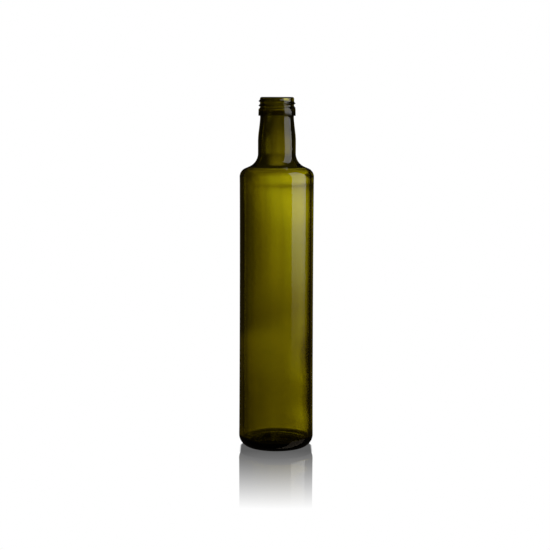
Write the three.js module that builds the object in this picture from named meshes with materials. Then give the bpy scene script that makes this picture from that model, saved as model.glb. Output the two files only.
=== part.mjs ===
// An empty half-litre olive oil bottle in dark olive-green glass, standing upright: a tall round
// body with a slightly drawn-in label panel, a short sloping shoulder, a neck that tapers up to a
// collar, and a screw mouth without its cap. It is blown in one piece, so it is one solid, open at
// the mouth. Millimetres, +Z up, with the origin at the middle of the ring that it stands on and
// the front of the bottle towards -Y.
import * as THREE from "three";

const radians = THREE.MathUtils.degToRad;

// Body, from the ground up
const HEIGHT = 288;
const HEEL_BAND_RADIUS = 30.55; // the two bands that touch the neighbouring bottles in a crate
const SHOULDER_BAND_RADIUS = 30.3;
const PANEL_DIP = 0.3; // how far the label panel is drawn in between them
const HEEL_CORNER = 10.1;
const SHOULDER_START = 223.35; // height where the straight body ends
const SHOULDER_CORNER = 7.4;
const SHOULDER_SLOPE = radians(23.8); // above the horizontal
const NECK_FILLET = 11.7;
const NECK_RADIUS = 15.43; // of the straight stretch over the shoulder
const NECK_TAPER_START = 252.2;
const NECK_TAPER_END = 272.8;
const NECK_TOP_RADIUS = 13.72;

// Collar and screw mouth
const COLLAR_BOTTOM = 272.8;
const COLLAR_HEIGHT = 5.1;
const COLLAR_RADIUS = 15.15;
const COLLAR_TOP_RADIUS = 15.07;
const COLLAR_CHAMFER = 1.5;
const COLLAR_UNDERCUT = 0.3; // rounding of the collar's lower edge
const MOUTH_RADIUS = 13.9; // the wall that the thread stands on
const THREAD_DEPTH = 1.1;
const THREAD_PITCH = 3.5;
const THREAD_LEFT_HEIGHT = 284.4; // crest of the top turn where it passes the left side, -X
const THREAD_UPPER_FLANK = 1.7;
const THREAD_LOWER_FLANK = 0.75;
const THREAD_TOP_ANGLE = -65; // degrees: 0 is +X and -90 the front, where the thread starts
const THREAD_BOTTOM_ANGLE = -880; // where it has run out into the collar
const THREAD_FADE = 24; // degrees over which it rises out of the wall
const LIP_CORNER = 1.6;
const LIP_INNER_CORNER = 1;

// Inside
const BORE_RADIUS = 10.9; // of the mouth and the top of the neck
const NECK_BORE_RADIUS = 12.65; // at the foot of the neck
const WALL = 3.3; // of the straight body
const INNER_SHOULDER_START = 223.06;
const INNER_SHOULDER_CORNER = 7.3;
const INNER_SHOULDER_SLOPE = radians(22.3); // a little flatter than the outside
const INNER_NECK_FILLET = 12.95;
const FLOOR_HEIGHT = 7.4; // lowest point of the inside: the base is thick
const INNER_HEEL_CORNER = 2.9;
const INNER_DOME = 3.4; // how far the middle of the floor stands over its edge

// Underside
const STANDING_RING = 2.4; // width of the flat ring
const PUNT_LIP = 2.4; // rounding where the ring turns up into the hollow
const PUNT_DEPTH = 4.6;

// Mesh density
const SIDES = 48;
const MOUTH_STEP = 0.48; // height of a row of faces on the thread

const smooth = (t) => THREE.MathUtils.smoothstep(t, 0, 1);

// Points of an arc about (r, z), with angles in radians from outwards (0) to upwards (+pi/2).
function arc(r, z, radius, from, to, steps) {
  return new THREE.EllipseCurve(r, z, radius, radius, from, to, to < from).getPoints(steps);
}

// Points at even heights from bottom to top, each with the radius that belongs to its height.
function wall(bottom, top, steps, radiusAt) {
  const heights = Array.from({ length: steps + 1 }, (_, i) => bottom + ((top - bottom) * i) / steps);
  return heights.map((z) => new THREE.Vector2(radiusAt(z), z));
}

// Points of a dome over the axis, from the middle out to its edge.
function dome(edgeRadius, edgeHeight, rise, steps) {
  const parts = Array.from({ length: steps + 1 }, (_, i) => i / steps);
  const heightAt = (t) => edgeHeight + rise * Math.cos((Math.PI / 2) * t);
  return parts.map((t) => new THREE.Vector2(edgeRadius * t, heightAt(t)));
}

// Radius of the body's outside, drawn in between its two bands.
function bodyRadius(z) {
  const along = (z - HEEL_CORNER) / (SHOULDER_START - HEEL_CORNER);
  const straight = THREE.MathUtils.lerp(HEEL_BAND_RADIUS, SHOULDER_BAND_RADIUS, along);
  return straight - PANEL_DIP * Math.sqrt(Math.sin(Math.PI * THREE.MathUtils.clamp(along, 0, 1)));
}

const hollowRadius = (z) => bodyRadius(z) - WALL;

// How far up its taper the neck is at a height, from 0 at the foot to 1 under the collar.
function neckTaper(z) {
  return smooth((z - NECK_TAPER_START) / (NECK_TAPER_END - NECK_TAPER_START));
}

const neckRadius = (z) => THREE.MathUtils.lerp(NECK_RADIUS, NECK_TOP_RADIUS, neckTaper(z));
const boreRadius = (z) => THREE.MathUtils.lerp(NECK_BORE_RADIUS, BORE_RADIUS, neckTaper(z));

// A shoulder seen from the side: a round corner that starts at a height on the body, a straight
// slope, and a hollow fillet that turns up into the neck.
function shoulder(body, start, corner, slope, fillet, neck, steps) {
  const normal = Math.PI / 2 - slope; // direction square to the slope, outwards and up
  const cornerPoints = arc(body - corner, start, corner, 0, normal, steps);
  const slopeBottom = cornerPoints.at(-1);
  const slopeTopRadius = neck + fillet * (1 - Math.cos(normal));
  const slopeRise = (slopeBottom.x - slopeTopRadius) * Math.tan(slope);
  const filletHeight = slopeBottom.y + slopeRise + fillet * Math.sin(normal);
  const filletStart = Math.PI + normal;
  return [...cornerPoints, ...arc(neck + fillet, filletHeight, fillet, filletStart, Math.PI, steps + 1)];
}

// The underside, from the middle of the punt out to the inner edge of the standing ring.
function underside() {
  const ringRadius = HEEL_BAND_RADIUS - HEEL_CORNER - STANDING_RING;
  const punt = dome(ringRadius - PUNT_LIP, PUNT_LIP, PUNT_DEPTH - PUNT_LIP, 5);
  const lip = arc(ringRadius, PUNT_LIP, PUNT_LIP, Math.PI, 1.5 * Math.PI, 3);
  return [...punt, ...lip.slice(1)];
}

// The outside, from the outer edge of the standing ring up to the collar.
function outside() {
  const heelCentre = HEEL_BAND_RADIUS - HEEL_CORNER;
  const heel = arc(heelCentre, HEEL_CORNER, HEEL_CORNER, -Math.PI / 2, 0, 7);
  const body = wall(HEEL_CORNER, SHOULDER_START, 10, bodyRadius);
  const top = shoulder(
    SHOULDER_BAND_RADIUS, SHOULDER_START, SHOULDER_CORNER, SHOULDER_SLOPE, NECK_FILLET,
    NECK_RADIUS, 6,
  );
  const neck = wall(NECK_TAPER_START, NECK_TAPER_END, 6, neckRadius);
  return [...heel, ...body.slice(1), ...top.slice(1), ...neck];
}

// The collar and the mouth up to the middle of the rim, with its thread still to be raised.
function mouth() {
  const collarTop = COLLAR_BOTTOM + COLLAR_HEIGHT;
  const collar = [
    new THREE.Vector2(COLLAR_RADIUS - COLLAR_UNDERCUT, COLLAR_BOTTOM),
    new THREE.Vector2(COLLAR_RADIUS, COLLAR_BOTTOM + COLLAR_UNDERCUT),
    new THREE.Vector2(COLLAR_TOP_RADIUS, collarTop),
  ];
  const bottom = collarTop + COLLAR_CHAMFER;
  const top = HEIGHT - LIP_CORNER;
  const threaded = wall(bottom, top, Math.round((top - bottom) / MOUTH_STEP), () => MOUTH_RADIUS);
  const lip = arc(MOUTH_RADIUS - LIP_CORNER, top, LIP_CORNER, 0, Math.PI / 2, 3);
  return [...collar, ...threaded, ...lip.slice(1)];
}

// The inside, from the rim down the bore and the body to the middle of the floor.
function inside() {
  const lipTop = HEIGHT - LIP_INNER_CORNER;
  const lip = arc(BORE_RADIUS + LIP_INNER_CORNER, lipTop, LIP_INNER_CORNER, Math.PI / 2, Math.PI, 3);
  const bore = wall(NECK_TAPER_START, NECK_TAPER_END, 5, boreRadius);
  const top = shoulder(
    hollowRadius(INNER_SHOULDER_START), INNER_SHOULDER_START, INNER_SHOULDER_CORNER,
    INNER_SHOULDER_SLOPE, INNER_NECK_FILLET, NECK_BORE_RADIUS, 6,
  );
  const heelTop = FLOOR_HEIGHT + INNER_HEEL_CORNER;
  const heelCentre = hollowRadius(heelTop) - INNER_HEEL_CORNER;
  const body = wall(heelTop, INNER_SHOULDER_START, 10, hollowRadius);
  const heel = arc(heelCentre, heelTop, INNER_HEEL_CORNER, 0, -Math.PI / 2, 6);
  const floor = dome(heelCentre, FLOOR_HEIGHT, INNER_DOME, 6);
  const upwards = [...body, ...top.slice(1), ...bore];
  return [...lip, ...upwards.reverse(), ...heel.slice(1), ...floor.reverse().slice(1)];
}

// How far the thread stands out of the mouth's wall, at an angle in degrees and a height.
function threadRelief(angle, z) {
  const turns = Math.ceil((THREAD_TOP_ANGLE - THREAD_BOTTOM_ANGLE) / 360);
  const reliefs = Array.from({ length: turns + 1 }, (_, turn) => {
    const along = angle - 360 * turn; // a right-hand thread: it falls as the angle falls
    if (along < THREAD_BOTTOM_ANGLE) return 0;
    const overCrest = z - THREAD_LEFT_HEIGHT - (THREAD_PITCH * (along + 180)) / 360;
    const flank = overCrest > 0 ? THREAD_UPPER_FLANK : THREAD_LOWER_FLANK;
    const start = smooth((THREAD_TOP_ANGLE - along) / THREAD_FADE);
    return THREAD_DEPTH * start * (1 - smooth(Math.abs(overCrest) / flank));
  });
  return Math.max(...reliefs);
}

// Moves the points of the mouth's outer wall outwards, to the thread's surface.
function raiseThread(geometry) {
  const position = geometry.getAttribute("position");
  for (let i = 0; i < position.count; i += 1) {
    const point = new THREE.Vector3().fromBufferAttribute(position, i);
    const radius = Math.hypot(point.x, point.y);
    const inMouth = point.z > COLLAR_BOTTOM + COLLAR_HEIGHT + COLLAR_CHAMFER / 2;
    if (!inMouth || radius < MOUTH_RADIUS - LIP_CORNER / 2) continue;
    const angle = THREE.MathUtils.radToDeg(Math.atan2(point.y, point.x));
    const growth = Math.max(1, (MOUTH_RADIUS + threadRelief(angle, point.z)) / radius);
    const outwards = point.z < HEIGHT - LIP_CORNER / 2 ? growth : 1;
    position.setXY(i, point.x * outwards, point.y * outwards);
  }
  return geometry;
}

function bottleGeometry() {
  const profile = [...underside(), ...outside(), ...mouth(), ...inside()];
  return raiseThread(new THREE.LatheGeometry(profile, SIDES).rotateX(Math.PI / 2));
}

const oliveGlass = new THREE.MeshStandardMaterial({
  name: "olive_glass",
  color: 0x4c4606,
  roughness: 0.05,
  metalness: 0,
  transparent: true,
  opacity: 0.85,
});

const bottle = new THREE.Mesh(bottleGeometry(), oliveGlass);
bottle.name = "bottle";

const oliveOilBottle = new THREE.Group();
oliveOilBottle.add(bottle);

export default oliveOilBottle;
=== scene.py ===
# An empty half-litre olive oil bottle of dark olive-green glass on a pale glossy table.
# The bottle is one piece of blown glass, so it is one object. Everything is in metres, with +Z up,
# the bottle's axis on the Z axis, and its front towards -Y.
import math

import bpy
from mathutils import Matrix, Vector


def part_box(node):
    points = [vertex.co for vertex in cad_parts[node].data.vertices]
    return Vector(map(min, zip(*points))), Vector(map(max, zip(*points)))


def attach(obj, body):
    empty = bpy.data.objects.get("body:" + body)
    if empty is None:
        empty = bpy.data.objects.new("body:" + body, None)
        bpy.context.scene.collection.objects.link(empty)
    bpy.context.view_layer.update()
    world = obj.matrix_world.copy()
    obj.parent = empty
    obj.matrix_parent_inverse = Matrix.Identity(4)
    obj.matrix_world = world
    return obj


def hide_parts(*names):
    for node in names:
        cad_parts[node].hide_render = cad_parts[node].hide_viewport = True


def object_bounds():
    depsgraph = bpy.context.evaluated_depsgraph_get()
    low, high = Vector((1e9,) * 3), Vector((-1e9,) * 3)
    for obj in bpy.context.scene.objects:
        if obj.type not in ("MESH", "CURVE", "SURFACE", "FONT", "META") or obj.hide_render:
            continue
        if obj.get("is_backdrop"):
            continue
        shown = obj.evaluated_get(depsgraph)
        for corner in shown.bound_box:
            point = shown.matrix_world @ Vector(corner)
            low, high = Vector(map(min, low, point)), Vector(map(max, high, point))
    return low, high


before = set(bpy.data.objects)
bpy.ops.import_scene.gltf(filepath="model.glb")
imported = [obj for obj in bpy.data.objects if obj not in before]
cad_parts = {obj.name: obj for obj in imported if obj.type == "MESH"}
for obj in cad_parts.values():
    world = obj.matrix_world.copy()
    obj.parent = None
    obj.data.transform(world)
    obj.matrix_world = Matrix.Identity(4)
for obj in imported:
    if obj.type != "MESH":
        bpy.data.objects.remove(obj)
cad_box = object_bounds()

MM = 0.001
scene = bpy.context.scene
scene.view_settings.view_transform = "Standard"

# Camera
# It stands 1.3 m in front of the bottle at the height of the rim, looks a little downwards, and
# is turned by a fifth of a degree, so the bottle leans slightly in the picture. Its place, its
# turns and its lens were fitted to the photo's outline.
camera_place = (-1.206 * MM, -1303.66 * MM, 288.77 * MM)
camera_pitch = 0.1116
camera_roll = 0.0033
focal_pixels = 1597.7
picture_pixels = 550

camera_data = bpy.data.cameras.new("camera")
camera_data.sensor_width = 36.0
camera_data.lens = camera_data.sensor_width * focal_pixels / picture_pixels
camera = bpy.data.objects.new("camera", camera_data)
camera.matrix_world = (
    Matrix.Translation(camera_place)
    @ Matrix.Rotation(math.pi / 2 - camera_pitch, 4, "X")
    @ Matrix.Rotation(camera_roll, 4, "Z")
)
scene.collection.objects.link(camera)
scene.camera = camera

# Bottle
# Dark olive-green glass about 3 mm thick, blown in a two-part mould with a hollow underside,
# so it has a mould seam on each side, a row of small raised dots on the back of its heel,
# ridges under its standing ring, and an inside that is less even than its outside.

# Sizes of the half section, in millimetres from the axis and from the ground.
bottle_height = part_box("bottle")[1].z / MM
heel_band_radius = 30.55
shoulder_band_radius = 30.3
panel_dip = 0.3
heel_corner = 10.1
shoulder_start = 223.35
shoulder_corner = 7.4
shoulder_slope = math.radians(23.8)
neck_fillet = 11.7
neck_radius = 15.43
neck_taper_start = 252.2
neck_taper_end = 272.8
neck_top_radius = 13.72
collar_bottom = 272.8
collar_height = 5.1
collar_radius = 15.15
collar_top_radius = 15.07
collar_chamfer = 1.5
collar_edge = 0.3
mouth_radius = 13.9
lip_corner = 1.6
lip_inner_corner = 1.0
bore_radius = 10.9
neck_bore_radius = 12.65
wall_thickness = 3.3
inner_shoulder_start = 223.06
inner_shoulder_corner = 7.3
inner_shoulder_slope = math.radians(22.3)
inner_neck_fillet = 12.95
fine_rows_start = 211.1
floor_height = 7.4
inner_heel_corner = 2.9
inner_dome = 3.4
standing_ring = 2.4
punt_lip = 2.4
punt_depth = 4.6


def smooth_step(t):
    t = min(max(t, 0.0), 1.0)
    return t * t * (3 - 2 * t)


def arc(r, z, radius, start, end, steps):
    """Points of an arc about (r, z), with angles in degrees from outwards (0) to upwards (90)."""
    angles = [math.radians(start + (end - start) * i / steps) for i in range(steps + 1)]
    return [(r + radius * math.cos(a), z + radius * math.sin(a)) for a in angles]


def wall(bottom, top, radius_at, steps):
    """Points at even heights from bottom to top, each with the radius that belongs there."""
    heights = [bottom + (top - bottom) * i / steps for i in range(steps + 1)]
    return [(radius_at(z), z) for z in heights]


def dome(edge_radius, edge_height, rise, steps):
    """Points of a dome over the axis, from the middle out to its edge."""
    parts = [i / steps for i in range(steps + 1)]
    return [(edge_radius * t, edge_height + rise * math.cos(math.pi / 2 * t)) for t in parts]


def body_radius(z):
    along = (z - heel_corner) / (shoulder_start - heel_corner)
    straight = heel_band_radius + (shoulder_band_radius - heel_band_radius) * along
    return straight - panel_dip * math.sqrt(math.sin(math.pi * min(max(along, 0.0), 1.0)))


def hollow_radius(z):
    return body_radius(z) - wall_thickness


def neck_taper(z):
    return smooth_step((z - neck_taper_start) / (neck_taper_end - neck_taper_start))


def outer_neck(z):
    return neck_radius + (neck_top_radius - neck_radius) * neck_taper(z)


def inner_neck(z):
    return neck_bore_radius + (bore_radius - neck_bore_radius) * neck_taper(z)


def shoulder(body, start, corner, slope, fillet, neck, steps):
    """A round corner, a straight slope and a hollow fillet that turns up into the neck."""
    normal = 90 - math.degrees(slope)
    points = arc(body - corner, start, corner, 0, normal, steps)
    slope_radius, slope_height = points[-1]
    top_radius = neck + fillet * (1 - math.sin(slope))
    rise = (slope_radius - top_radius) * math.tan(slope)
    fillet_height = slope_height + rise + fillet * math.cos(slope)
    fillet_steps = steps + 6
    points += arc(neck + fillet, fillet_height, fillet, 180 + normal, 180, fillet_steps)
    return points


ring_radius = heel_band_radius - heel_corner - standing_ring
ring_steps = 6
underside = dome(ring_radius - punt_lip, punt_lip, punt_depth - punt_lip, steps=14)
underside += arc(ring_radius, punt_lip, punt_lip, 180, 270, steps=8)[1:]
outside = [(ring_radius + standing_ring * i / ring_steps, 0.0) for i in range(1, ring_steps)]
outside += arc(heel_band_radius - heel_corner, heel_corner, heel_corner, -90, 0, steps=34)
outside += wall(heel_corner, shoulder_start, body_radius, steps=34)[1:]
outside += shoulder(
    shoulder_band_radius, shoulder_start, shoulder_corner, shoulder_slope, neck_fillet,
    neck_radius, steps=18,
)[1:]
outside += wall(neck_taper_start, neck_taper_end, outer_neck, steps=20)
collar_top = collar_bottom + collar_height
collar_foot = collar_bottom + collar_edge
outside += arc(collar_radius - collar_edge, collar_foot, collar_edge, -90, 0, steps=4)
outside += [(collar_top_radius, collar_top - collar_edge)]
outside += arc(collar_top_radius - collar_edge, collar_top, collar_edge, 0, 50, steps=3)
mouth_bottom = collar_top + collar_chamfer
mouth_top = bottle_height - lip_corner
outside += wall(mouth_bottom, mouth_top, lambda z: mouth_radius, steps=54)
outside += arc(mouth_radius - lip_corner, mouth_top, lip_corner, 0, 90, steps=10)[1:]
inner_heel_top = floor_height + inner_heel_corner
inside = wall(inner_heel_top, fine_rows_start, hollow_radius, steps=36)
inside += wall(fine_rows_start, inner_shoulder_start, hollow_radius, steps=22)[1:]
inside += shoulder(
    hollow_radius(inner_shoulder_start), inner_shoulder_start, inner_shoulder_corner,
    inner_shoulder_slope, inner_neck_fillet, neck_bore_radius, steps=14,
)[1:]
inside += wall(neck_taper_start, neck_taper_end, inner_neck, steps=16)
inner_lip = bore_radius + lip_inner_corner
inner_lip_start = bottle_height - lip_inner_corner
inside += arc(inner_lip, inner_lip_start, lip_inner_corner, 180, 90, steps=8)
inside.reverse()
inner_heel = hollow_radius(inner_heel_top) - inner_heel_corner
inside += arc(inner_heel, inner_heel_top, inner_heel_corner, 0, -90, steps=20)[1:]
inside += dome(inner_heel, floor_height, inner_dome, steps=14)[::-1][1:]
section = underside + outside + inside
first_inner_row = len(underside + outside)

# The section as a chain of edges, with the rows of the inside marked.
section_mesh = bpy.data.meshes.new("bottle_section")
section_mesh.from_pydata(
    [(r * MM, 0, z * MM) for r, z in section],
    [(i, i + 1) for i in range(len(section) - 1)],
    [],
)
inner_mark = section_mesh.attributes.new("inner", "FLOAT", "POINT")
inner_mark.data.foreach_set("value", [float(i >= first_inner_row) for i in range(len(section))])


class Number:
    """A number in a node tree, so that formulas can be written with Python's own signs."""

    def __init__(self, tree, socket):
        self.tree = tree
        self.socket = socket

    def math(self, operation, *others):
        node = self.tree.nodes.new("ShaderNodeMath")
        node.operation = operation
        for slot, value in zip(node.inputs, (self, *others)):
            if isinstance(value, Number):
                self.tree.links.new(value.socket, slot)
            else:
                slot.default_value = value
        return Number(self.tree, node.outputs[0])

    def __add__(self, other):
        return self.math("ADD", other)

    def __sub__(self, other):
        return self.math("SUBTRACT", other)

    def __rsub__(self, other):
        return -self + other

    def __mul__(self, other):
        return self.math("MULTIPLY", other)

    def __truediv__(self, other):
        return self.math("DIVIDE", other)

    def __neg__(self):
        return self * -1

    def __gt__(self, other):
        return self.math("GREATER_THAN", other)

    def __lt__(self, other):
        return self.math("LESS_THAN", other)

    def __abs__(self):
        return self.math("ABSOLUTE")

    def __round__(self):
        return self.math("ROUND")

    def smooth(self, low, high):
        """From 0 at low to 1 at high, with a soft start and end."""
        node = self.tree.nodes.new("ShaderNodeMapRange")
        node.interpolation_type = "SMOOTHSTEP"
        for slot, value in zip(node.inputs, (self, low, high)):
            if isinstance(value, Number):
                self.tree.links.new(value.socket, slot)
            else:
                slot.default_value = value
        return Number(self.tree, node.outputs[0])

    def peak(self, middle, reach):
        """1 at the middle, and softly down to 0 at the reach on both sides."""
        return 1 - abs(self - middle).smooth(0, reach)

    def between(self, start, full, waning, end):
        """1 from full to waning, and softly down to 0 at start and at end."""
        return self.smooth(start, full) * (1 - self.smooth(waning, end))


# The tree that turns the section round the axis and adds the relief.
blowing = bpy.data.node_groups.new("blown_bottle", "GeometryNodeTree")
blowing.interface.new_socket(name="Section", in_out="INPUT", socket_type="NodeSocketGeometry")
blowing.interface.new_socket(name="Bottle", in_out="OUTPUT", socket_type="NodeSocketGeometry")
blowing_in = blowing.nodes.new("NodeGroupInput")
blowing_out = blowing.nodes.new("NodeGroupOutput")
blowing_values = {}


def blowing_input(name, value, kind="NodeSocketFloat"):
    """A named size of the tree, as a Number for its formulas."""
    socket = blowing.interface.new_socket(name=name, in_out="INPUT", socket_type=kind)
    blowing_values[socket.identifier] = value
    return Number(blowing, blowing_in.outputs[name])


def blowing_node(kind, **links):
    """A node of the tree with the given inputs linked or set; _ in a name stands for a space."""
    node = blowing.nodes.new(kind)
    for name, value in links.items():
        slot = node.inputs[name.replace("_", " ")]
        if isinstance(value, Number):
            blowing.links.new(value.socket, slot)
        elif isinstance(value, bpy.types.NodeSocket):
            blowing.links.new(value, slot)
        else:
            slot.default_value = value
    return node


sides = blowing_input("Sides", 240, "NodeSocketInt")
gathering = blowing_input("Gathering of Sides", 0.75)
thread_height = blowing_input("Thread Height at Left", 284.4 * MM)
thread_pitch = blowing_input("Thread Pitch", 3.5 * MM)
thread_depth = blowing_input("Thread Depth", 1.1 * MM)
upper_flank = blowing_input("Thread Upper Flank", 1.7 * MM)
lower_flank = blowing_input("Thread Lower Flank", 0.75 * MM)
thread_top = blowing_input("Thread Top Angle", -65.0)
thread_bottom = blowing_input("Thread Bottom Angle", -880.0)
thread_fade = blowing_input("Thread Fade Angle", 24.0)
thread_wall = blowing_input("Mouth Radius", mouth_radius * MM)
thread_low = blowing_input("Thread Lower Limit", (collar_top + collar_chamfer / 2) * MM)
thread_high = blowing_input("Thread Upper Limit", (bottle_height - lip_corner / 2) * MM)
seam_height = blowing_input("Seam Height", 0.03 * MM)
seam_width = blowing_input("Seam Width", 0.8 * MM)
seam_bottom = blowing_input("Seam Bottom", 14 * MM)
seam_top = blowing_input("Seam Top", 219 * MM)
seam_fade = blowing_input("Seam Fade", 4 * MM)
dot_level = blowing_input("Dot Level", 8.2 * MM)
dot_spacing = blowing_input("Dot Spacing", 2.3 * MM)
dot_offset = blowing_input("Dot Row Offset", 7.1 * MM)
dot_row = blowing_input("Dot Row Length", 13.8 * MM)
dot_radius = blowing_input("Dot Radius", 0.6 * MM)
dot_height = blowing_input("Dot Height", 0.15 * MM)
ridge_count = blowing_input("Ridges under Ring", 60.0)
ridge_height = blowing_input("Ridge Height", 0.15 * MM)
ring_inner = blowing_input("Ring Inner Radius", ring_radius * MM)
ring_outer = blowing_input("Ring Outer Radius", (ring_radius + standing_ring) * MM)
unevenness = blowing_input("Unevenness of Inside", 0.35 * MM)
uneven_size = blowing_input("Unevenness Scale", 22.0)
uneven_stretch = blowing_input("Unevenness Stretch", 0.45)
uneven_start = blowing_input("Unevenness Start", 85 * MM)
uneven_full = blowing_input("Unevenness Full", 150 * MM)
uneven_waning = blowing_input("Unevenness Waning", 205 * MM)
uneven_end = blowing_input("Unevenness End", 245 * MM)
seed = blowing_input("Seed", 4.0)
settle_wave = blowing_input("Settle Wave", 0.05 * MM)
settle_middle = blowing_input("Settle Height", 219.1 * MM)
settle_spread = blowing_input("Settle Spread", 3.8 * MM)
settle_gap = blowing_input("Settle Gap at Right", 0.8)
ring_swell = blowing_input("Thick Ring", 0.2 * MM)
ring_level = blowing_input("Thick Ring Level", 38 * MM)
ring_reach = blowing_input("Thick Ring Reach", 18 * MM)
left_swell = blowing_input("Left Patch", 0.3 * MM)
left_level = blowing_input("Left Patch Level", 38 * MM)
left_reach = blowing_input("Left Patch Reach", 27 * MM)
right_swell = blowing_input("Right Patch", 0.4 * MM)
right_level = blowing_input("Right Patch Level", 73 * MM)
right_reach = blowing_input("Right Patch Reach", 24 * MM)
patch_edge = blowing_input("Patch Edge", 0.2)
lean_top = blowing_input("Lean at Top", 0.34 * MM)
lean_start = blowing_input("Lean Start", 100 * MM)
lean_peak = blowing_input("Lean Peak", 180 * MM)
lean_end = blowing_input("Lean End", 240 * MM)
lean_foot = blowing_input("Lean at Foot", 0.4 * MM)
foot_level = blowing_input("Foot Level", 18 * MM)
foot_reach = blowing_input("Foot Reach", 16 * MM)
glass_input = blowing_input("Glass", None, "NodeSocketMaterial")

section_socket = blowing_in.outputs["Section"]
section_count = blowing_node("GeometryNodeAttributeDomainSize", Geometry=section_socket)
rows = Number(blowing, section_count.outputs["Point Count"])
columns = sides + 1
grid = blowing_node("GeometryNodeMeshGrid", Vertices_X=columns, Vertices_Y=rows)
index = Number(blowing, blowing.nodes.new("GeometryNodeInputIndex").outputs[0])
column = (index / rows).math("FLOOR")
row = index - column * rows


def at_row(value_socket, kind):
    """What the section's point of this row holds."""
    sample = blowing.nodes.new("GeometryNodeSampleIndex")
    sample.data_type = kind
    blowing.links.new(section_socket, sample.inputs["Geometry"])
    blowing.links.new(value_socket, sample.inputs["Value"])
    blowing.links.new(row.socket, sample.inputs["Index"])
    return sample.outputs[0]


inner_name = blowing_node("GeometryNodeInputNamedAttribute", Name="inner")
inner = Number(blowing, at_row(inner_name.outputs["Attribute"], "FLOAT"))
point = at_row(blowing.nodes.new("GeometryNodeInputPosition").outputs[0], "FLOAT_VECTOR")
split = blowing_node("ShaderNodeSeparateXYZ", Vector=point)
radius = Number(blowing, split.outputs["X"])
height = Number(blowing, split.outputs["Z"])

# The columns gather at the seams, the front and the back, but stay even under the ring.
turn = column / sides * math.tau
gathered = gathering * height.smooth(2 * MM, 6 * MM)
turned = turn - gathered * (turn * 4).math("SINE") / 4
degrees = turned.math("DEGREES")
outer = 1 - inner

# The screw thread, a right-hand one. The mouth's wall grows to it.
crest_turn = (height - thread_height) / thread_pitch * 360 - 180
nearest = round((degrees - crest_turn) / 360)
along = degrees - nearest * 360
over_crest = thread_pitch * (crest_turn - along) / 360
flank = lower_flank + (upper_flank - lower_flank) * (over_crest > 0)
thread_start = ((thread_top - along) / thread_fade).smooth(0, 1)
thread_kept = along > thread_bottom
thread_shape = 1 - (abs(over_crest) / flank).smooth(0, 1)
relief = thread_depth * thread_shape * thread_start * thread_kept
on_mouth = outer * (height > thread_low) * (height < thread_high)
threaded = radius + ((thread_wall + relief).math("MAXIMUM", radius) - radius) * on_mouth

# The two mould seams, at the left and the right, between the heel and the shoulder.
sideways = radius * turned.math("SINE")
seam = 1 - (abs(sideways) / seam_width).smooth(0, 1)
seam_span = height.between(seam_bottom, seam_bottom + seam_fade, seam_top - seam_fade, seam_top)
seamed = threaded + seam_height * seam * seam_span * outer

# The row of raised dots at the back of the heel.
from_back = radius * turned.math("COSINE") - dot_offset
from_dot = from_back - round(from_back / dot_spacing + 0.5) * dot_spacing + dot_spacing / 2
dot_distance = (from_dot * from_dot + (height - dot_level).math("POWER", 2)).math("SQRT")
behind = turned.math("SINE") > 0
in_row = (abs(from_back) < dot_row / 2) * behind * outer
dot = 1 - (dot_distance / dot_radius).smooth(0, 1)
dotted = seamed + dot_height * in_row * dot

# The uneven inside. Its noise is read on a circle of the body's size, drawn out upwards.
noise_circle = 30 * MM
uneven_place = blowing_node(
    "ShaderNodeCombineXYZ",
    X=turned.math("COSINE") * noise_circle,
    Y=turned.math("SINE") * noise_circle,
    Z=height * uneven_stretch,
)
noise = blowing_node("ShaderNodeTexNoise", Vector=uneven_place.outputs[0], Scale=uneven_size)
noise.noise_dimensions = "4D"
noise.inputs["Detail"].default_value = 1.0
blowing.links.new(seed.socket, noise.inputs["W"])
swell = (Number(blowing, noise.outputs[0]) - 0.5) * 2
swell_span = height.between(uneven_start, uneven_full, uneven_waning, uneven_end)

# Where the wall is thicker: a ring and a patch on each side above the foot, and a wave of glass
# that settled under the shoulder, all but on the right.
on_right = turned.math("COSINE").smooth(patch_edge, 1)
on_left = (-turned.math("COSINE")).smooth(patch_edge, 1)
thick_ring = height.peak(ring_level, ring_reach)
right_patch = on_right * height.peak(right_level, right_reach)
left_patch = on_left * height.peak(left_level, left_reach)
from_settle = (height - settle_middle) / settle_spread
settled = (-(from_settle * from_settle)).math("EXPONENT") * (1 - on_right * settle_gap)
patches = right_patch * right_swell + left_patch * left_swell
thickening = thick_ring * ring_swell + patches + settled * settle_wave
finished = dotted + (unevenness * swell * swell_span - thickening) * inner

# The hollow stands a little to the right at the top of the body and at the foot.
leaning_top = lean_top * height.between(lean_start, lean_peak, lean_peak, lean_end)
leaning_foot = lean_foot * height.peak(foot_level, foot_reach)
sideward = (leaning_top + leaning_foot) * inner

# The ridges under the standing ring, which leave their crests on the ground.
margin = 0.01 * MM
under_ring = (radius > ring_inner - margin) * (radius < ring_outer + margin)
on_ring = under_ring * (height < margin)
ridge = ((turned * ridge_count).math("COSINE") + 1) / 2 * ridge_height * on_ring * outer
place = blowing_node(
    "ShaderNodeCombineXYZ",
    X=finished * turned.math("COSINE") + sideward,
    Y=finished * turned.math("SINE"),
    Z=height + ridge,
)
moved = blowing_node(
    "GeometryNodeSetPosition", Geometry=grid.outputs["Mesh"], Position=place.outputs[0]
)
closed = blowing_node(
    "GeometryNodeMergeByDistance", Geometry=moved.outputs[0], Distance=0.001 * MM
)
rounded = blowing_node("GeometryNodeSetShadeSmooth", Geometry=closed.outputs[0])
realized = blowing_node("GeometryNodeRealizeInstances", Geometry=rounded.outputs[0])
coated = blowing_node("GeometryNodeSetMaterial", Geometry=realized.outputs[0], Material=glass_input)
blowing.links.new(coated.outputs[0], blowing_out.inputs["Bottle"])

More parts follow.
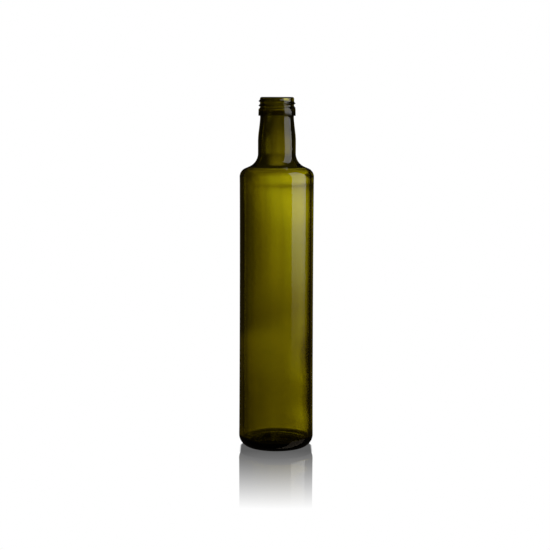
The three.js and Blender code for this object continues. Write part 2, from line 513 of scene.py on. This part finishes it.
# The glass: clear and smooth, with its colour in its depth, so that thick places are darker.
glass = bpy.data.materials.new("olive_glass")
glass.use_nodes = True
glass_tree = glass.node_tree
glass_shader = glass_tree.nodes["Principled BSDF"]
glass_shader.inputs["Transmission Weight"].default_value = 1.0
glass_shader.inputs["IOR"].default_value = 1.52
glass_depth = glass_tree.nodes.new("ShaderNodeVolumeAbsorption")
glass_depth.inputs["Color"].default_value = (0.80, 0.775, 0.02, 1)
glass_depth.inputs["Density"].default_value = 900.0
glass_tree.links.new(
    glass_depth.outputs[0], glass_tree.nodes["Material Output"].inputs["Volume"]
)
glass_place = glass_tree.nodes.new("ShaderNodeTexCoord")
ripple = glass_tree.nodes.new("ShaderNodeTexNoise")
ripple.inputs["Scale"].default_value = 70.0
ripple.inputs["Detail"].default_value = 2.0
glass_tree.links.new(glass_place.outputs["Object"], ripple.inputs["Vector"])
ripple_relief = glass_tree.nodes.new("ShaderNodeBump")
ripple_relief.inputs["Strength"].default_value = 0.3
ripple_relief.inputs["Distance"].default_value = 0.02 * MM
glass_tree.links.new(ripple.outputs[0], ripple_relief.inputs["Height"])
glass_tree.links.new(ripple_relief.outputs[0], glass_shader.inputs["Normal"])
haze = glass_tree.nodes.new("ShaderNodeMapRange")
haze.inputs["To Min"].default_value = 0.015
haze.inputs["To Max"].default_value = 0.035
glass_tree.links.new(ripple.outputs[0], haze.inputs["Value"])
glass_tree.links.new(haze.outputs[0], glass_shader.inputs["Roughness"])
tint = glass_tree.nodes.new("ShaderNodeMix")
tint.data_type = "RGBA"
tint.inputs["A"].default_value = (1, 1, 1, 1)
tint.inputs["B"].default_value = (0.96, 0.985, 0.93, 1)
glass_tree.links.new(ripple.outputs[0], tint.inputs["Factor"])

# The glass of the floor and of the hollow under it gets a dark colour, so that it lets less light
# through: painted shade under the standing bottle.
glass_split = glass_tree.nodes.new("ShaderNodeSeparateXYZ")
glass_tree.links.new(glass_place.outputs["Object"], glass_split.inputs[0])
glass_x = Number(glass_tree, glass_split.outputs["X"])
glass_y = Number(glass_tree, glass_split.outputs["Y"])
glass_height = Number(glass_tree, glass_split.outputs["Z"])
from_axis = (glass_x * glass_x + glass_y * glass_y).math("SQRT")
floor_shade_edge = (22.5 * MM, 25.5 * MM)
floor_shade_top = (11 * MM, 13 * MM)
painted_floor_shade = (1 - from_axis.smooth(*floor_shade_edge)) * (1 - glass_height.smooth(*floor_shade_top))
floor_shade_tint = glass_tree.nodes.new("ShaderNodeMix")
floor_shade_tint.data_type = "RGBA"
floor_shade_tint.inputs["B"].default_value = (0.06, 0.06, 0.03, 1)
glass_tree.links.new(painted_floor_shade.socket, floor_shade_tint.inputs["Factor"])
glass_tree.links.new(tint.outputs["Result"], floor_shade_tint.inputs["A"])
glass_tree.links.new(floor_shade_tint.outputs["Result"], glass_shader.inputs["Base Color"])

bottle = bpy.data.objects.new("bottle_glass", section_mesh)
scene.collection.objects.link(bottle)
modifier = bottle.modifiers.new("blowing", "NODES")
modifier.node_group = blowing
for identifier, value in blowing_values.items():
    modifier[identifier] = glass if value is None else value
bottle.data.update()
evaluated = bottle.evaluated_get(bpy.context.evaluated_depsgraph_get())
bottle_mesh = bpy.data.meshes.new_from_object(evaluated)
bottle.modifiers.remove(modifier)
bottle.data = bottle_mesh
bpy.data.meshes.remove(section_mesh)
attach(bottle, "root")
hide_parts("bottle")

# Table
# A pale glossy table top of lacquered board, polished like a mirror. It mirrors the bottle near
# its foot and looks plain white further out.
table_radius = 0.5
table_mesh = bpy.data.meshes.new("table")
table_corners = 96
table_mesh.from_pydata(
    [
        (
            table_radius * math.cos(math.tau * i / table_corners),
            table_radius * math.sin(math.tau * i / table_corners),
            0,
        )
        for i in range(table_corners)
    ],
    [],
    [list(range(table_corners))],
)
table = bpy.data.objects.new("table", table_mesh)
scene.collection.objects.link(table)
table_top = bpy.data.materials.new("table_top")
table_top.use_nodes = True
table_tree = table_top.node_tree
table_tree.nodes.clear()
table_mesh.materials.append(table_top)

# Light that has been through the bottle, or that the bottle mirrors, passes the table top, so that
# it comes from the studio round it; only close to the foot is the light through the glass held
# back, a painted shadow under the foot. The camera sees the table top as white, near the bottle as
# a mirror as well, and right at the foot, a little towards the camera, as the painted grey of the
# foot's shadow.
table_place = table_tree.nodes.new("ShaderNodeTexCoord")
table_distance = table_tree.nodes.new("ShaderNodeVectorMath")
table_distance.operation = "LENGTH"
table_tree.links.new(table_place.outputs["Object"], table_distance.inputs[0])
distance = Number(table_tree, table_distance.outputs["Value"])
facing = table_tree.nodes.new("ShaderNodeLayerWeight")
facing.inputs["Blend"].default_value = 0.5
grazing = Number(table_tree, facing.outputs["Facing"]).smooth(0.3, 0.8)
fade_start = 18 * MM
fade_length = 187 * MM
fade = ((distance - fade_start) / fade_length).math("MAXIMUM", 0).math("MINIMUM", 1)
polish = 0.88
mirror = (1 - fade.math("POWER", 1.6)) * grazing * polish

# The shadow has the foot's width and reaches a little further towards the camera.
shadow_length = 20 * MM
shadow_edge = (28.4 * MM, 30.1 * MM)
shadow_depth = 0.11
shadow_lightening = 2.0
table_split = table_tree.nodes.new("ShaderNodeSeparateXYZ")
table_tree.links.new(table_place.outputs["Object"], table_split.inputs[0])
table_x = Number(table_tree, table_split.outputs["X"])
table_y = Number(table_tree, table_split.outputs["Y"])
forwards = (-table_y - shadow_length).math("MAXIMUM", 0)
backwards = table_y.math("MAXIMUM", 0)
from_foot = (table_x * table_x + forwards * forwards + backwards * backwards).math("SQRT")
clear = from_foot.smooth(*shadow_edge)
shaded = forwards * shadow_lightening + shadow_depth
lit = ((1 - clear) * shaded + clear * (1 - mirror)) / (1 - clear * mirror)
table_path = table_tree.nodes.new("ShaderNodeLightPath")
table_white = table_tree.nodes.new("ShaderNodeEmission")
table_white.inputs["Color"].default_value = (1, 1, 1, 1)
table_gloss = table_tree.nodes.new("ShaderNodeBsdfGlossy")
table_gloss.inputs["Color"].default_value = (1, 1, 1, 1)
table_gloss.inputs["Roughness"].default_value = 0.0
table_polish = table_tree.nodes.new("ShaderNodeMixShader")
table_tree.links.new((clear * mirror).socket, table_polish.inputs["Fac"])
table_tree.links.new(lit.socket, table_white.inputs["Strength"])
table_tree.links.new(table_white.outputs[0], table_polish.inputs[1])
table_tree.links.new(table_gloss.outputs[0], table_polish.inputs[2])
table_open = table_tree.nodes.new("ShaderNodeBsdfTransparent")
glossy_ray = Number(table_tree, table_path.outputs["Is Glossy Ray"])
# Close to the foot the light passing the table is darkened for rays through the glass: a painted
# shadow under the bottle.
painted_foot_shadow_reach = (48 * MM, 80 * MM)
outside_painted_shadow = distance.smooth(*painted_foot_shadow_reach).math("MAXIMUM", glossy_ray)
table_tree.links.new(outside_painted_shadow.socket, table_open.inputs["Color"])
table_mix = table_tree.nodes.new("ShaderNodeMixShader")
table_tree.links.new(table_path.outputs["Is Camera Ray"], table_mix.inputs["Fac"])
table_tree.links.new(table_open.outputs[0], table_mix.inputs[1])
table_tree.links.new(table_polish.outputs[0], table_mix.inputs[2])
table_output = table_tree.nodes.new("ShaderNodeOutputMaterial")
table_tree.links.new(table_mix.outputs[0], table_output.inputs["Surface"])
table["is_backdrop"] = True

# Studio light
# The lit backdrop and the table behind the bottle, seen through the glass, a tall soft box to
# the right of it, and a plain white surround for the camera.
world = bpy.data.worlds.new("studio")
scene.world = world
world.use_nodes = True
studio = world.node_tree
studio.nodes.clear()


def ramp(value, stops):
    """The brightness at a direction in degrees, between stops of (degrees, brightness)."""
    low, high = stops[0][0], stops[-1][0]
    brightest = max(brightness for degrees_at, brightness in stops)
    node = studio.nodes.new("ShaderNodeValToRGB")
    node.color_ramp.interpolation = "EASE"
    elements = node.color_ramp.elements
    while len(elements) < len(stops):
        elements.new(0.5)
    for element, (degrees_at, brightness) in zip(elements, stops):
        element.position = (degrees_at - low) / (high - low)
    for element, (degrees_at, brightness) in zip(elements, stops):
        element.color = (*[brightness / brightest] * 3, 1)
    studio.links.new(((value - low) / (high - low)).socket, node.inputs["Fac"])
    return Number(studio, node.outputs["Color"]) * brightest


studio_place = studio.nodes.new("ShaderNodeTexCoord")
studio_split = studio.nodes.new("ShaderNodeSeparateXYZ")
studio.links.new(studio_place.outputs["Generated"], studio_split.inputs[0])
x = Number(studio, studio_split.outputs["X"])
y = Number(studio, studio_split.outputs["Y"])
elevation = Number(studio, studio_split.outputs["Z"]).math("ARCSINE").math("DEGREES")
bearing = x.math("ARCTAN2", y).math("DEGREES")

# The backdrop is the same on all four sides, so that the bottle is lit from every view.
quarter = bearing - round(bearing / 90) * 90

# The stops here and in the soft box aren't free choices: scratch programs worked out figures from
# the photo's brightness, and they were taken up here, partly changed by hand.
wall_glow = ramp(quarter, [
    (-45, 0.05), (-34, 0.07), (-14, 0.13), (-9, 0.21), (-6.4, 0.31), (-4.8, 0.47), (-3, 0.78),
    (-1, 1.17), (0.2, 1.2), (1.3, 1.53), (2.6, 1.68), (8, 1.75), (13, 1.5), (25, 0.43),
    (38, 0.06), (45, 0.05),
])
low_glow = ramp(quarter, [
    (-45, 0.1), (-34, 0.13), (-14, 0.24), (-9, 0.31), (-4.8, 0.6), (-2, 0.88), (0, 1.0),
    (2, 1.48), (4.5, 1.85), (8.3, 2.4), (12.5, 2.1), (25, 0.43), (38, 0.07), (45, 0.1),
])
table_glow = ramp(quarter, [
    (-45, 0.16), (-34, 0.29), (-14, 0.46), (-9, 0.64), (-4.8, 0.79), (-2, 0.97), (0, 1.0),
    (2.6, 1.33), (4.5, 1.68), (8.3, 1.95), (12.5, 1.5), (25, 0.18), (45, 0.08),
])
height_glow = ramp(elevation, [
    (-90, 0.0), (-25, 0.02), (-16, 0.08), (-13, 0.28), (-11.6, 0.297), (-10.9, 0.241),
    (-10.2, 0.30), (-9.1, 0.35), (-8.6, 0.35), (-8, 0.253), (-7, 0.341), (-5.9, 0.472),
    (-4.8, 0.552), (-4.1, 0.722), (-3.5, 0.81), (-3.2, 0.86), (-2.85, 0.62), (-2.4, 0.44),
    (-2, 0.155), (-1.6, 0.145), (-1.1, 0.11), (-0.6, 0.05), (0, 0.02), (5, 0.02), (8, 0.03),
    (12.4, 0.02), (13, 0.14), (15, 0.14), (15.6, 0.02), (90, 0.02),
])
on_low = 1 - elevation.smooth(-8.0, -4.8)
on_table = 1 - elevation.smooth(-8.62, -8.05)
sidewards_glow = wall_glow + (low_glow - wall_glow) * on_low
sidewards_glow = sidewards_glow + (table_glow - sidewards_glow) * on_table
table_rim = elevation.peak(-8.68, 0.55) * (1 - quarter.smooth(0, 5))
rim_brightness = 0.055
backdrop = sidewards_glow * height_glow + table_rim * rim_brightness

# The soft box, with its left and right edge, its top, and its brightness from the foot upwards.
from_front = x.math("ARCTAN2", -y).math("DEGREES")
soft_box = (
    from_front.between(48, 49, 102, 103)
    * (1 - elevation.smooth(56, 60))
    * ramp(elevation, [
        (-90, 0.2), (-16, 0.2), (-13, 0.0), (-9.8, 0.0), (-9.1, 0.11), (-8, 0.3), (-6.9, 0.5),
        (-5.9, 0.95), (-4.8, 1.5), (-3.7, 2.0), (-2.85, 2.4), (-1, 2.0), (90, 2.0),
    ])
)
studio_path = studio.nodes.new("ShaderNodeLightPath")
camera_ray = Number(studio, studio_path.outputs["Is Camera Ray"])
through = Number(studio, studio_path.outputs["Is Transmission Ray"])
mirrored = Number(studio, studio_path.outputs["Is Singular Ray"]) * Number(
    studio, studio_path.outputs["Is Glossy Ray"]
)
white = camera_ray.math("MAXIMUM", mirrored)
ambient = 0.01
dimmed_by_glass = 0.6
dim = soft_box * (1 - through * dimmed_by_glass) + backdrop * through + ambient
brightness = white + dim * (1 - white)
warmth = studio.nodes.new("ShaderNodeMix")
warmth.data_type = "RGBA"
warmth.inputs["A"].default_value = (1, 0.83, 0.6, 1)
warmth.inputs["B"].default_value = (1, 1, 1, 1)
studio.links.new(brightness.smooth(0.05, 1.0).socket, warmth.inputs["Factor"])
studio_light = studio.nodes.new("ShaderNodeBackground")
studio.links.new(warmth.outputs["Result"], studio_light.inputs["Color"])
studio.links.new(brightness.socket, studio_light.inputs["Strength"])
studio_output = studio.nodes.new("ShaderNodeOutputWorld")
studio.links.new(studio_light.outputs[0], studio_output.inputs["Surface"])

visual_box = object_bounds()
sizes = {
    "cad": [list(corner) for corner in cad_box],
    "visual": [list(corner) for corner in visual_box],
}
